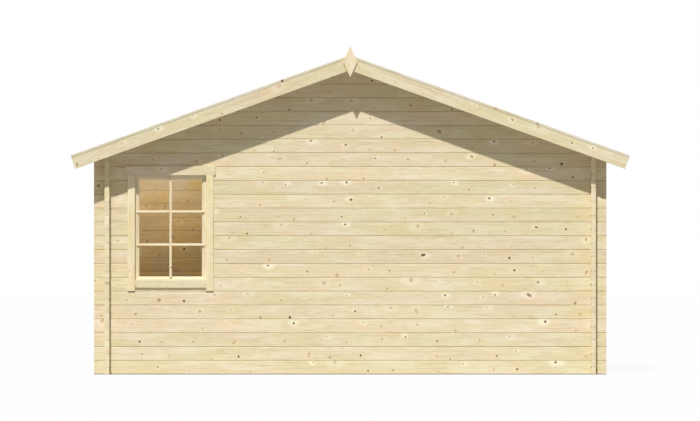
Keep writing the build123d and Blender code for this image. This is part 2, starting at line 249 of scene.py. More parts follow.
def knotField(tree, length, inBoard, boardWidth, key, seed, share):
    # at most one knot in each cell along a board: how far from it a place is, in knot sizes
    cellLength, waves = knotPlan["cell"], knotPlan["outline"]
    count = calc(tree, "DIVIDE", length, cellLength)
    cell = calc(tree, "FLOOR", count)
    spot = chance(tree, vector(tree, cell, key, seed))
    kind = chance(tree, vector(tree, key, cell, seed + 5.0))
    spotAlong = calc(tree, "MULTIPLY_ADD", spot[0], 0.64, 0.18)
    offAlong = calc(tree, "SUBTRACT", calc(tree, "FRACT", count), spotAlong)
    offAlong = calc(tree, "MULTIPLY", offAlong, cellLength)
    spotAcross = calc(tree, "MULTIPLY", calc(tree, "MULTIPLY_ADD", spot[1], 0.8, 0.1), boardWidth)
    offAcross = calc(tree, "SUBTRACT", inBoard, spotAcross)
    # some knots are cut lengthwise and lie slanting over the board
    angle = calc(tree, "MULTIPLY", spot[2], math.pi)
    cosine, sine = calc(tree, "COSINE", angle), calc(tree, "SINE", angle)
    slantAlong = calc(tree, "MULTIPLY_ADD", offAlong, cosine, calc(tree, "MULTIPLY", offAcross, sine))
    slantAcross = calc(tree, "MULTIPLY", offAcross, cosine)
    slantAcross = calc(tree, "SUBTRACT", slantAcross, calc(tree, "MULTIPLY", offAlong, sine))
    stretch = band(tree, kind[2], 0.68, 0.98, 1.05, knotPlan["longest"])
    reach = farFrom(tree, calc(tree, "DIVIDE", slantAlong, stretch), slantAcross)
    wobble = noise(tree, stretched(tree, (offAlong, offAcross, key), (waves, waves, 3.0)), 1.0)
    reach = calc(tree, "MULTIPLY", reach, calc(tree, "MULTIPLY_ADD", wobble, 0.8, 0.6))
    # dark ones, half-dark ones and mere traces, which are wider
    present = calc(tree, "LESS_THAN", kind[1], knotPlan["share"] * share)
    darkness = calc(tree, "MULTIPLY", band(tree, kind[1], *knotPlan["dark"], 1.0, 0.0), present)
    size = calc(tree, "MULTIPLY", kind[0], kind[0])
    size = calc(tree, "MULTIPLY_ADD", size, knotPlan["growth"], knotPlan["radius"])
    size = calc(tree, "MULTIPLY", size, calc(tree, "MULTIPLY_ADD", darkness, -0.45, 1.45))
    ratio = calc(tree, "DIVIDE", reach, size)
    # the bright wood is longer than it is wide and lies more to one side
    rimAlong, rimAcross = knotPlan["rimOff"]
    besideAlong = calc(tree, "MULTIPLY_ADD", calc(tree, "SUBTRACT", spot[2], 0.5), rimAlong, offAlong)
    besideAcross = calc(tree, "MULTIPLY_ADD", calc(tree, "SUBTRACT", spot[0], 0.5), rimAcross, offAcross)
    wide = farFrom(tree, calc(tree, "DIVIDE", besideAlong, 1.7), besideAcross)
    wide = calc(tree, "MULTIPLY", wide, calc(tree, "MULTIPLY_ADD", wobble, 1.6, 0.2))
    flare = calc(tree, "MULTIPLY", spot[1], spot[1])
    flare = calc(tree, "MULTIPLY_ADD", flare, knotPlan["rimGrowth"], 0.8)
    wideRatio = calc(tree, "DIVIDE", wide, calc(tree, "MULTIPLY", size, flare))
    strength = calc(tree, "MULTIPLY", calc(tree, "MULTIPLY_ADD", darkness, 0.5, 0.5), present)
    core = calc(tree, "MULTIPLY", band(tree, ratio, *knotPlan["coreEnd"], 1.0, 0.0), strength)
    rim = calc(tree, "MULTIPLY", band(tree, wideRatio, *knotPlan["rimEnd"], 1.0, 0.0), strength)
    rim = calc(tree, "MULTIPLY", rim, band(tree, spot[1], 0.40, 0.85, knotPlan["rimFaint"], 1.0))
    glow = calc(tree, "MULTIPLY", band(tree, wideRatio, *knotPlan["glowEnd"], 1.0, 0.0), present)
    return core, darkness, rim, calc(tree, "MULTIPLY", glow, spot[2])


def ringField(tree, length, inBoard, depth, boardWidth, luck, swirl):
    # rings round a heart that lies off the board, bent a little along it and round its knots
    bend = noise(tree, stretched(tree, (length, luck[0], luck[1]), (0.9, 31.0, 17.0)))
    sway = noise(tree, stretched(tree, (length, inBoard, depth), (5.0, 9.0, 9.0)))
    heartAcross = calc(tree, "MULTIPLY_ADD", luck[1], boardWidth * 1.5, -0.25 * boardWidth)
    heartDepth = calc(tree, "MULTIPLY_ADD", luck[2], ringPlan["heartSpread"], -ringPlan["heartDepth"])
    offAcross = calc(tree, "SUBTRACT", inBoard, heartAcross)
    offAcross = calc(tree, "MULTIPLY_ADD", bend, ringPlan["bend"], offAcross)
    radius = farFrom(tree, offAcross, calc(tree, "ADD", depth, heartDepth))
    radius = calc(tree, "MULTIPLY_ADD", sway, ringPlan["sway"], radius)
    radius = calc(tree, "MULTIPLY_ADD", swirl, ringPlan["swirl"], radius)
    ring = calc(tree, "FRACT", calc(tree, "DIVIDE", radius, ringPlan["width"]))
    return calc(tree, "MULTIPLY", band(tree, ring, 0.35, 0.92), band(tree, ring, 0.93, 1.0, 1.0, 0.0))


def woodMaterial(
    name, along, boardWidth, start, middle, seed, turn=0.0, tint=(1, 1, 1), knotShare=1.0, foot=False
):
    # along names the axes along, across and through the boards, which follow each other from start on;
    # middle is how far their middle lies from the origin, through them, and foot paints a shadow along a
    # wall's lowest edge
    material, tree, shader = makeMaterial(name)
    length, across, through = grainAxes(tree, "Object", along, turn)
    count = calc(tree, "DIVIDE", calc(tree, "SUBTRACT", across, start), boardWidth)
    inBoard = calc(tree, "MULTIPLY", calc(tree, "FRACT", count), boardWidth)
    depth = calc(tree, "SUBTRACT", calc(tree, "ABSOLUTE", through), middle)
    key = calc(tree, "MULTIPLY_ADD", calc(tree, "SIGN", through), 50.0, calc(tree, "FLOOR", count))
    luck = chance(tree, vector(tree, key, seed, 1.0))
    length = calc(tree, "MULTIPLY_ADD", luck[0], 40.0, length)
    core, darkness, rim, glow = knotField(tree, length, inBoard, boardWidth, key, seed, knotShare)
    lateWood = ringField(tree, length, inBoard, depth, boardWidth, luck, rim)

    # streaks, fine fibres and slow changes of tone along a board
    places = (length, across, through)
    noises = {}
    for kind, (scales, detail, roughness) in grainNoises.items():
        noises[kind] = noise(tree, stretched(tree, places, scales), detail, roughness)
    rings = calc(tree, "MULTIPLY", lateWood, woodTones["ringShare"])
    colour = blendColours(tree, rings, woodTones["early"], woodTones["late"])
    for kind, low, high, atLow, atHigh, tone in grainLayers:
        amount = band(tree, noises[kind], low, high, atLow, atHigh)
        colour = blendColours(tree, amount, colour, woodTones[tone])
    glow = calc(tree, "MULTIPLY", glow, woodTones["glowShare"])
    colour = blendColours(tree, glow, colour, woodTones["streak"])
    brightWood = calc(tree, "MULTIPLY", rim, woodTones["rimShare"])
    colour = blendColours(tree, brightWood, colour, woodTones["rim"])
    knotTone = blendColours(tree, darkness, woodTones["trace"], woodTones["knot"])
    colour = blendColours(tree, core, colour, knotTone)

    # every board has a tone of its own, and sawn ends have another
    drift = noise(tree, stretched(tree, (length, inBoard, key), woodSurface["drift"]), 2.0)
    drift = calc(tree, "MULTIPLY_ADD", calc(tree, "SUBTRACT", luck[1], 0.5), 0.16, drift)
    boardTone = blendColours(tree, band(tree, drift, 0.36, 0.64), woodTones["yellow"], woodTones["pink"])
    colour = tinted(tree, tinted(tree, colour, boardTone), tint)
    facing = calc(tree, "ABSOLUTE", grainAxes(tree, "Normal", along, turn)[0])
    sawnEnd = band(tree, facing, 0.75, 0.9, 1.0, woodTones["endGrain"])
    fibre = noises["fibre"]
    level = calc(tree, "MULTIPLY_ADD", luck[2], 0.09, calc(tree, "MULTIPLY_ADD", fibre, 0.12, 0.91))
    shade = calc(tree, "MULTIPLY", level, sawnEnd)
    # painted shade: every board darkens within a few millimetres of its edges, where shade falls into the V
    # joints
    edge = calc(tree, "MINIMUM", inBoard, calc(tree, "SUBTRACT", boardWidth, inBoard))
    shade = calc(tree, "MULTIPLY", shade, band(tree, edge, 0.002, 0.0055, woodTones["joint"], 1.0))
    # painted shadow: the lowest centimetre of a wall is darkened where it meets the floor
    if foot:
        shade = calc(tree, "MULTIPLY", shade, band(tree, across, 0.005, 0.010, woodTones["foot"], 1.0))
    tree.links.new(tinted(tree, colour, vector(tree, shade, shade, shade)), shader.inputs["Base Color"])

    tree.links.new(band(tree, fibre, 0.2, 0.8, *woodSurface["roughness"]), shader.inputs["Roughness"])
    shader.inputs["Specular IOR Level"].default_value = woodSurface["specular"]
    height = calc(tree, "MULTIPLY_ADD", lateWood, 0.45, calc(tree, "MULTIPLY", fibre, 0.35))
    height = calc(tree, "SUBTRACT", height, calc(tree, "MULTIPLY", core, 0.5))
    addBump(tree, shader, height, woodSurface["bump"], woodSurface["bumpDepth"])
    return material


steelSurface = {"gritScale": 160.0, "bump": 0.2, "bumpDepth": 0.0004}


def steelMaterial(name, colour, worn, roughness, metallic):
    material, tree, shader = makeMaterial(name)
    coordinates = tree.nodes.new("ShaderNodeTexCoord")
    grit = noise(tree, coordinates.outputs["Object"], 4.0, 0.6)
    grit.node.inputs["Scale"].default_value = steelSurface["gritScale"]
    tone = blendColours(tree, band(tree, grit, 0.42, 0.72), colour, worn)
    tree.links.new(tone, shader.inputs["Base Color"])
    tree.links.new(band(tree, grit, 0.3, 0.7, roughness * 0.8, roughness * 1.2), shader.inputs["Roughness"])
    shader.inputs["Metallic"].default_value = metallic
    addBump(tree, shader, grit, steelSurface["bump"], steelSurface["bumpDepth"])
    return material


panes = {
    "golden": (0.95, 0.87, 0.70),  # the two tones of an uneven film
    "pale": (0.92, 0.87, 0.78),
    "filmScale": 3.2,
    "refraction": 1.5,
    "roughness": 0.03,
    "slant": -0.6,  # the edges of the painted reflection rise to the right by this share
    "uneven": 0.5,  # how far the film breaks them up
    "skyEdge": (1.66, 1.84),  # heights between which the painted sky reflection sets in
    "sky": 3.0,  # and how much more the glass mirrors there
    "groundEdge": (1.12, 1.34),
    "ground": 0.5,
}


def glassMaterial(name):
    material = bpy.data.materials.new(name)
    material.use_nodes = True
    tree = material.node_tree
    tree.nodes.clear()
    output = tree.nodes.new("ShaderNodeOutputMaterial")
    clear = tree.nodes.new("ShaderNodeBsdfTransparent")
    coordinates = tree.nodes.new("ShaderNodeTexCoord")
    film = noise(tree, coordinates.outputs["Object"], 3.0, 0.6)
    film.node.inputs["Scale"].default_value = panes["filmScale"]
    tone = blendColours(tree, band(tree, film, 0.42, 0.58), panes["golden"], panes["pale"])
    tree.links.new(tone, clear.inputs["Color"])
    gloss = tree.nodes.new("ShaderNodeBsdfGlossy")
    roughness = band(tree, film, 0.3, 0.7, panes["roughness"], panes["roughness"] * 2)
    tree.links.new(roughness, gloss.inputs["Roughness"])
    fresnel = tree.nodes.new("ShaderNodeFresnel")
    fresnel.inputs["IOR"].default_value = panes["refraction"]
    # painted reflection: the glass really mirrors the white world, but how much is set by the height on the
    # pane, more at the upper corner as if it mirrored bright sky and less on the lower panes as if it
    # mirrored darker ground
    place = tree.nodes.new("ShaderNodeSeparateXYZ")
    tree.links.new(coordinates.outputs["Object"], place.inputs[0])
    height = calc(tree, "SUBTRACT", place.outputs[0], windowMiddle)
    height = calc(tree, "MULTIPLY_ADD", height, panes["slant"], place.outputs[2])
    height = calc(tree, "MULTIPLY_ADD", calc(tree, "SUBTRACT", film, 0.5), panes["uneven"], height)
    sky = band(tree, height, *panes["skyEdge"], 1.0, panes["sky"])
    ground = band(tree, height, *panes["groundEdge"], panes["ground"], 1.0)
    fresnelAndPaintedReflection = calc(tree, "MULTIPLY", calc(tree, "MULTIPLY", fresnel.outputs[0], sky), ground)
    mix = tree.nodes.new("ShaderNodeMixShader")
    tree.links.new(fresnelAndPaintedReflection, mix.inputs[0])
    tree.links.new(clear.outputs[0], mix.inputs[1])
    tree.links.new(gloss.outputs[0], mix.inputs[2])
    tree.links.new(mix.outputs[0], output.inputs["Surface"])
    return material


def middleOf(node, axis):
    # how far a node's middle lies from the origin on one axis
    low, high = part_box(node)
    return abs(low[axis] + high[axis]) / 2


gableMiddle = middleOf("window_wall_even_logs", 1)
sideMiddle = middleOf("right_wall_even_logs", 0)
casingMiddle = middleOf("window_side_casings", 1)
ledgeMiddle = middleOf("door_ledges", 1)
leafMiddle = middleOf("right_door_leaf", 1)
bargeMiddle = middleOf("door_end_right_barge_board", 1)
roofPlane = roofHigh.z * math.cos(roofPitch)  # top of the roof boards, square out from the origin
roofMiddle = roofPlane - roofThickness / 2
lathMiddle = roofPlane + lathDepth / 2
bargeStart = roofPlane - bargeDepth
lathTint = (0.930, 0.985, 1.120)
# painted highlight: the sash and its glazing bars are brightened past the other wood, as if they caught more
# light
sashHighlightTint = (1.090, 1.110, 1.120)
casingTint = (1.055, 1.045, 1.010)

gableLogs = woodMaterial("gableLogWood", "XZY", courseHeight, 0.0, gableMiddle, 1.0, foot=True)
sideLogs = woodMaterial("sideLogWood", "YZX", courseHeight, -courseHeight / 2, sideMiddle, 14.0, foot=True)
purlinWood = woodMaterial("purlinWood", "YXZ", 0.13, -0.065, 2.8, 27.0)
uprightTrim = woodMaterial("uprightTrimWood", "ZXY", 0.50, 0.33, casingMiddle, 40.0, tint=casingTint)
levelTrim = woodMaterial("levelTrimWood", "XZY", 0.25, 0.04, casingMiddle, 54.0)
ledgeWood = woodMaterial("ledgeWood", "XZY", 0.40, 0.0, ledgeMiddle, 66.0)
eavesWood = woodMaterial("eavesWood", "YXZ", 0.10, 0.0, 2.1, 157.0)
sashUpright = woodMaterial("sashUprightWood", "ZXY", 0.30, 0.03, 2.8, 196.0, tint=sashHighlightTint, knotShare=0.4)
sashLevel = woodMaterial("sashLevelWood", "XZY", 0.26, 0.05, 2.8, 209.0, tint=sashHighlightTint, knotShare=0.4)


def slopeMaterials(name, along, boardWidth, start, middle, seed, tint=(1, 1, 1), knotShare=1.0):
    # one for each slope: the right one's boards lie turned down to +x, the left one's down to -x
    return [
        woodMaterial(side + name, along, boardWidth, start, middle, seed + later, turn, tint, knotShare)
        for side, later, turn in (("right", 0.0, -roofPitch), ("left", 13.0, roofPitch))
    ]


rightBarge, leftBarge = slopeMaterials("BargeWood", "XZY", bargeDepth, bargeStart, bargeMiddle, 79.0)
rightLath, leftLath = slopeMaterials("LathWood", "XYZ", 0.07, 0.0, lathMiddle, 105.0, lathTint)
rightRoof, leftRoof = slopeMaterials(
    "RoofWood", "XYZ", roofBoardWidth, roofLow.y, roofMiddle, 131.0, knotShare=0.7
)
rightDoorWood, leftDoorWood = (
    woodMaterial(side + "DoorWood", "ZXY", leafBoardWidth, start, leafMiddle, seed, knotShare=0.6)
    for side, start, seed in (("right", leafLow.x, 170.0), ("left", -leafLow.x, 183.0))
)
windowGlass = glassMaterial("windowGlass")
blackSteel = steelMaterial("blackSteel", (0.030, 0.030, 0.031), (0.075, 0.072, 0.070), 0.50, 0.3)
satinSteel = steelMaterial("satinSteel", (0.55, 0.55, 0.53), (0.62, 0.62, 0.60), 0.32, 1.0)
screwSteel = steelMaterial("screwSteel", (0.60, 0.54, 0.40), (0.48, 0.42, 0.30), 0.50, 0.5)
print("materials made")

finishes = {
    "window_wall_even_logs": gableLogs,
    "window_wall_odd_logs": gableLogs,
    "door_wall_even_logs": gableLogs,
    "door_wall_odd_logs": gableLogs,
    "left_wall_even_logs": sideLogs,
    "left_wall_odd_logs": sideLogs,
    "right_wall_even_logs": sideLogs,
    "right_wall_odd_logs": sideLogs,
    "ridge_purlin": purlinWood,
    "upper_purlins": purlinWood,
    "lower_purlins": purlinWood,
    "right_roof_boarding": rightRoof,
    "left_roof_boarding": leftRoof,
    "eaves_laths": eavesWood,
    "window_end_right_barge_board": rightBarge,
    "window_end_left_barge_board": leftBarge,
    "window_end_right_cover_lath": rightLath,
    "window_end_left_cover_lath": leftLath,
    "door_end_right_barge_board": rightBarge,
    "door_end_left_barge_board": leftBarge,
    "door_end_right_cover_lath": rightLath,
    "door_end_left_cover_lath": leftLath,
    "window_end_finial": uprightTrim,
    "door_end_finial": uprightTrim,
    "window_side_linings": uprightTrim,
    "window_sill_and_head_linings": levelTrim,
    "window_sash_stiles": sashUpright,
    "window_sash_rails": sashLevel,
    "window_glass": windowGlass,
    "window_side_casings": uprightTrim,
    "window_head_casing": levelTrim,
    "window_sill_board": levelTrim,
    "door_jambs": uprightTrim,
    "door_head": levelTrim,
    "door_side_casings": uprightTrim,
    "door_head_casing": levelTrim,
    "left_door_leaf": leftDoorWood,
    "right_door_leaf": rightDoorWood,
    "door_ledges": ledgeWood,
    "door_braces": ledgeWood,
    "door_meeting_lath": uprightTrim,
    "door_hinge_straps": blackSteel,
    "door_hinge_plates": blackSteel,
    "door_handle": satinSteel,
}
for node, finish in finishes.items():
    nodes[node].data.materials.clear()
    nodes[node].data.materials.append(finish)
print("finishes given")


# Ways of working that several pieces share

same = 1e-5  # two places nearer than this are one
flat = 0.9  # a face looks along an axis when its normal does by this much


def pick(piece, kind, test):
    # leaves edit mode on, with only the vertices, edges or faces that pass the test picked
    bpy.ops.object.mode_set(mode="EDIT")
    bpy.ops.mesh.select_mode(type=kind)
    bpy.ops.mesh.select_all(action="DESELECT")
    bpy.ops.object.mode_set(mode="OBJECT")
    mesh = piece.data
    items = {"VERT": mesh.vertices, "EDGE": mesh.edges, "FACE": mesh.polygons}[kind]
    for item in items:
        if kind == "VERT":
            item.select = test(item.co)
        elif kind == "EDGE":
            item.select = test(*(mesh.vertices[index].co for index in item.vertices))
        else:
            item.select = test(item.center, item.normal)
    bpy.ops.object.mode_set(mode="EDIT")


def runsAlong(axis):
    # a test for edges that run along one axis
    others = [index for index in range(3) if index != axis]
    return lambda first, second: all(abs(first[index] - second[index]) < same for index in others)


def bevelPicked(width, segments=2):
    bpy.ops.mesh.bevel(offset=width, segments=segments, affect="EDGES")
    bpy.ops.object.mode_set(mode="OBJECT")


def addBlock(name, low, high, edge=0.0):
    # a block between two corners, with its edges eased
    bpy.ops.object.select_all(action="DESELECT")
    low, high = Vector(low), Vector(high)
    bpy.ops.mesh.primitive_cube_add(size=1, location=(low + high) / 2)
    piece = bpy.context.object
    piece.name = name
    piece.scale = high - low
    bpy.ops.object.transform_apply(location=True, rotation=True, scale=True)
    if edge:
        pick(piece, "EDGE", lambda first, second: True)
        bevelPicked(edge)
    return piece


def addRound(name, radius, depth, place, vertices=24):
    # a disc or rod along y, whose middle lies at a place
    bpy.ops.object.select_all(action="DESELECT")
    bpy.ops.mesh.primitive_cylinder_add(
        vertices=vertices, radius=radius, depth=depth, location=place, rotation=(math.pi / 2, 0, 0)
    )
    piece = bpy.context.object
    piece.name = name
    bpy.ops.object.transform_apply(location=True, rotation=True, scale=True)
    return piece


def copyTo(piece, offset):
    # a copy with a mesh of its own, moved and then applied
    bpy.ops.object.select_all(action="DESELECT")
    piece.select_set(True)
    bpy.context.view_layer.objects.active = piece
    bpy.ops.object.duplicate(linked=False)
    bpy.ops.transform.translate(value=offset)
    bpy.ops.object.transform_apply(location=True, rotation=True, scale=True)
    return bpy.context.object


def repeatPiece(piece, count, offset):
    # a row of like boards in one mesh
    bpy.context.view_layer.objects.active = piece
    row = piece.modifiers.new("row", "ARRAY")
    row.count = count
    row.use_relative_offset = False
    row.use_constant_offset = True
    row.constant_offset_displace = offset
    bpy.ops.object.modifier_apply(modifier=row.name)


def joinPieces(pieces, name):
    bpy.ops.object.select_all(action="DESELECT")
    for piece in pieces:
        piece.select_set(True)
    bpy.context.view_layer.objects.active = pieces[0]
    bpy.ops.object.join()
    pieces[0].name = name
    return pieces[0]


def finishPiece(piece, material, slot, *replaced, smooth=None):
    if smooth:
        bpy.ops.object.select_all(action="DESELECT")
        piece.select_set(True)
        bpy.context.view_layer.objects.active = piece
        bpy.ops.object.shade_smooth_by_angle(angle=math.radians(smooth))
    piece.data.materials.clear()
    piece.data.materials.append(material)
    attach(piece, "root")
    if replaced:
        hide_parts(*replaced)


# Roof boards, barge boards and cover laths, all cut plumb at the ridge

slopeBoards = {
    "boardEdge": 0.003,  # chamfer of a roof board, half of a V joint
    "lathNosing": 0.0035,  # how far a lath stands out past its barge board
    "trimEdge": 0.0025,
}


def addSlopeBlock(name, side, across, depths, edge, longEdgesOnly=False):
    # laid level, cut plumb at the ridge end, turned down the slope and lifted to the ridge
    piece = addBlock(name, (0, across[0], -depths[1]), (slopeLength, across[1], -depths[0]))
    for depth in depths:
        pick(piece, "VERT", lambda place: place.x < 0.001 and abs(place.z + depth) < same)
        bpy.ops.transform.translate(value=(depth * math.tan(roofPitch), 0, 0))
        bpy.ops.object.mode_set(mode="OBJECT")
    pick(piece, "EDGE", runsAlong(0) if longEdgesOnly else lambda first, second: True)
    bevelPicked(edge, 1 if longEdgesOnly else 2)
    pick(piece, "VERT", lambda place: True)
    bpy.ops.transform.rotate(value=-roofPitch, orient_axis="Y", center_override=(0, 0, 0))
    bpy.ops.transform.translate(value=(0, 0, roofHigh.z))
    if side == "left":
        bpy.ops.transform.resize(value=(-1, 1, 1), center_override=(0, 0, 0))
        bpy.ops.mesh.normals_make_consistent(inside=False)
    bpy.ops.object.mode_set(mode="OBJECT")
    return piece


def roofBoards(side, material):
    across = (roofLow.y, roofLow.y + roofBoardWidth)
    depths = (0, roofThickness)
    boards = addSlopeBlock(side + "RoofBoards", side, across, depths, slopeBoards["boardEdge"], True)
    repeatPiece(boards, roofBoardCount, (0, roofBoardWidth, 0))
    finishPiece(boards, material, "roof_boards", side + "_roof_boarding")


def gableTrim(end, side, bargeMaterial, lathMaterial):
    low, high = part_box(f"{end}_end_{side}_barge_board")
    edge = slopeBoards["trimEdge"]
    barge = addSlopeBlock(end + side + "Barge", side, (low.y, high.y), (0, bargeDepth), edge)
    finishPiece(barge, bargeMaterial, "trim_wood", f"{end}_end_{side}_barge_board")
    # the lath's inner edge is the one nearer to the middle of the building
    lathLow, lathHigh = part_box(f"{end}_end_{side}_cover_lath")
    across = (low.y - slopeBoards["lathNosing"], lathHigh.y)
    if end == "door":
        across = (lathLow.y, high.y + slopeBoards["lathNosing"])
    lath = addSlopeBlock(end + side + "Lath", side, across, (-lathDepth, 0), edge)
    finishPiece(lath, lathMaterial, "trim_wood", f"{end}_end_{side}_cover_lath")


roofBoards("right", rightRoof)
roofBoards("left", leftRoof)
for end in ("window", "door"):
    gableTrim(end, "right", rightBarge, rightLath)
    gableTrim(end, "left", leftBarge, leftLath)
print("roof boards and gable trim made")


# Finials

finial = {"width": 0.14, "height": 0.30, "edge": 0.004}


def addFinial(end):
    low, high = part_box(end + "_end_finial")
    # a disc of four corners, one unit high and wide, drawn out to a diamond
    bpy.ops.object.select_all(action="DESELECT")
    bpy.ops.mesh.primitive_cylinder_add(
        vertices=4, radius=0.5, depth=1, location=(low + high) / 2, rotation=(math.pi / 2, 0, 0)
    )
    piece = bpy.context.object
    piece.name = end + "Finial"
    piece.scale = (finial["width"], finial["height"], high.y - low.y)
    bpy.ops.object.transform_apply(location=True, rotation=True, scale=True)
    pick(piece, "EDGE", lambda first, second: abs(first.y - second.y) < same)
    bevelPicked(finial["edge"])
    finishPiece(piece, uprightTrim, "trim_wood", end + "_end_finial")


for end in ("window", "door"):
    addFinial(end)
print("finials made")


# Casings, eased along their edges

casings = {
    "windowSide": 0.070,  # width of an upright casing
    "doorSide": 0.090,
    "edge": 0.003,
    "sillEdge": 0.006,
}


def addCasing(node, material, edge, width=None):
    # one board, or an upright one at each side
    low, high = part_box(node)
    spans = [(low.x, high.x)] if width is None else [(low.x, low.x + width), (high.x - width, high.x)]
    pieces = []
    for start, end in spans:
        pieces.append(addBlock(node + ".board", (start, low.y, low.z), (end, high.y, high.z), edge))
    finishPiece(joinPieces(pieces, node + ".boards"), material, "trim_wood", node)


addCasing("window_head_casing", levelTrim, casings["edge"])
addCasing("window_side_casings", uprightTrim, casings["edge"], casings["windowSide"])
addCasing("window_sill_board", levelTrim, casings["sillEdge"])
addCasing("door_head_casing", levelTrim, casings["edge"])
addCasing("door_side_casings", uprightTrim, casings["edge"], casings["doorSide"])
addCasing("door_meeting_lath", uprightTrim, casings["edge"])
print("casings made")


# Glazing bars over the sash, with equal panes

bars = {
    "width": 0.023,
    "proud": 0.015,  # in front of the sash
    "edge": 0.003,
    "rows": 3,
    "inset": 0.013,  # from the edge of the sash to the end of a bar
    "foot": 0.034,  # the same at the lower end of the upright bar
    "sashFace": 0.041,  # width of the sash round the glass
    "sunk": 0.0005,  # into the sash
}


def glazingBars():
    front, back = sashLow.y - bars["proud"], sashLow.y + bars["sunk"]
    half = bars["width"] / 2
    bottom, top = sashLow.z + bars["foot"], sashHigh.z - bars["inset"]
    upright = addBlock(
        "uprightBar", (windowMiddle - half, front, bottom), (windowMiddle + half, back, top), bars["edge"]
    )
    levels = []
    inside = sashHigh.z - sashLow.z - 2 * bars["sashFace"]
    pane = (inside - (bars["rows"] - 1) * bars["width"]) / bars["rows"]
    spans = (
        (sashLow.x + bars["inset"], windowMiddle - half),
        (windowMiddle + half, sashHigh.x - bars["inset"]),
    )
    for row in range(1, bars["rows"]):
        z = sashLow.z + bars["sashFace"] + row * pane + (row - 1) * bars["width"]
        for start, end in spans:
            corners = (start, front, z), (end, back, z + bars["width"])
            levels.append(addBlock("levelBar", *corners, bars["edge"]))
    finishPiece(upright, sashUpright, "sash_wood")
    finishPiece(joinPieces(levels, "levelBars"), sashLevel, "sash_wood")


glazingBars()
print("window bars made")


# Boarded door leaves

doorBoards = {"chamfer": 0.0045}  # half of a V joint


def addLeaf(side, material):
    low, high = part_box(side + "_door_leaf")
    leaf = addBlock(side + "DoorBoards", low, (low.x + leafBoardWidth, high.y, high.z))
    pick(leaf, "EDGE", runsAlong(2))
    bevelPicked(doorBoards["chamfer"], 1)
    repeatPiece(leaf, leafBoardCount, (leafBoardWidth, 0, 0))
    finishPiece(leaf, material, "door_boards", side + "_door_leaf")


addLeaf("right", rightDoorWood)
addLeaf("left", leftDoorWood)
print("door leaves made")


# Hinge bolts

hinges = {
    "boltRadius": 0.0085,
    "boltHeight": 0.005,
    "boltEdge": 0.004,  # rounding of its head
    "strapBolts": (0.06, 0.21, 0.36),  # from the pin along the strap
    "plateMiddle": 0.030,  # from the pin to the middle of the plate
    "plateBolt": 0.034,  # from the middle of the plate, up and down
    "steel": 0.004,
    "fromLeafEnd": 0.22,  # the upper and the lower hinge
}


def hingeBolts():
    strapLow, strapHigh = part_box("door_hinge_straps")
    pin = strapHigh.x
    face = strapLow.y + hinges["steel"]
    middle = (leafLow.z + leafHigh.z) / 2
    heights = [leafLow.z + hinges["fromLeafEnd"], middle, leafHigh.z - hinges["fromLeafEnd"]]
    first = Vector((pin - hinges["strapBolts"][0], face + hinges["boltHeight"] / 2, heights[0]))
    bolt = addRound("hingeBolt", hinges["boltRadius"], hinges["boltHeight"], first)
    outer = first.y + hinges["boltHeight"] / 2
    pick(bolt, "EDGE", lambda start, end: min(start.y, end.y) > outer - same)
    bevelPicked(hinges["boltEdge"], 4)
    places = []
    for z in heights:
        for side in (-1, 1):
            places += [(side * (pin - reach), z) for reach in hinges["strapBolts"]]
            plateMiddle = side * (pin + hinges["plateMiddle"])
            places += [(plateMiddle, z - hinges["plateBolt"]), (plateMiddle, z + hinges["plateBolt"])]
    bolts = [copyTo(bolt, (x - first.x, 0, z - first.z)) for x, z in places]
    bpy.data.objects.remove(bolt)
    finishPiece(joinPieces(bolts, "hingeBolts"), blackSteel, "hinge_steel", smooth=35)


hingeBolts()
print("hinge bolts made")


# Lever handle with its plate and lock

handle = {
    "x": 0.07,
    "z": 1.05,
    "plate": (0.042, 0.006, 0.200),  # width, thickness and height
    "corner": 0.012,
    "plateEdge": 0.0015,
    "sunk": 0.001,  # how far the lever and the roses reach into the plate
    "leverRadius": 0.009,
    "leverEdge": 0.003,
    "bend": 0.020,
    "leverRose": (0.016, 0.005),  # radius, and height over the plate
    "lockRose": (0.0085, 0.003),
    "roseEdge": 0.001,
    "lockDrop": 0.062,  # from the lever down to the lock
    "lockRecess": 0.001,
    "slot": (0.0016, 0.003, 0.007),  # width, depth and height
    "slotProud": 0.0002,  # out of the recess round the lock
    "slotEdge": 0.0002,
}
handleLow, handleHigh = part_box("door_handle")


def addPlate():
    width, thickness, height = handle["plate"]
    x, z = handle["x"], handle["z"]
    plate = addBlock(
        "handlePlate",
        (x - width / 2, handleLow.y, z - height / 2),
        (x + width / 2, handleLow.y + thickness, z + height / 2),
    )
    pick(plate, "EDGE", runsAlong(1))
    bevelPicked(handle["corner"], 5)
    front = handleLow.y + thickness
    pick(plate, "EDGE", lambda first, second: min(first.y, second.y) > front - same)
    bevelPicked(handle["plateEdge"], 2)
    return plate


def addLever():
    # a round neck, a quarter turn and the grip
    x, z, radius, bend = handle["x"], handle["z"], handle["leverRadius"], handle["bend"]
    start, end = handleLow.y + handle["sunk"], handleHigh.y - radius - bend
    lever = addRound("lever", radius, end - start, (x, (start + end) / 2, z))
    pick(lever, "FACE", lambda centre, normal: normal.y > flat)
    bpy.ops.mesh.spin(steps=8, angle=-math.pi / 2, center=(x + bend, end, z), axis=(0, 0, 1))
    bpy.ops.mesh.extrude_region_move(TRANSFORM_OT_translate={"value": (handleHigh.x - x - bend, 0, 0)})
    bpy.ops.mesh.bevel(offset=handle["leverEdge"], segments=3, affect="EDGES")
    bpy.ops.mesh.select_all(action="SELECT")
    bpy.ops.mesh.normals_make_consistent(inside=False)
    bpy.ops.object.mode_set(mode="OBJECT")
    return lever


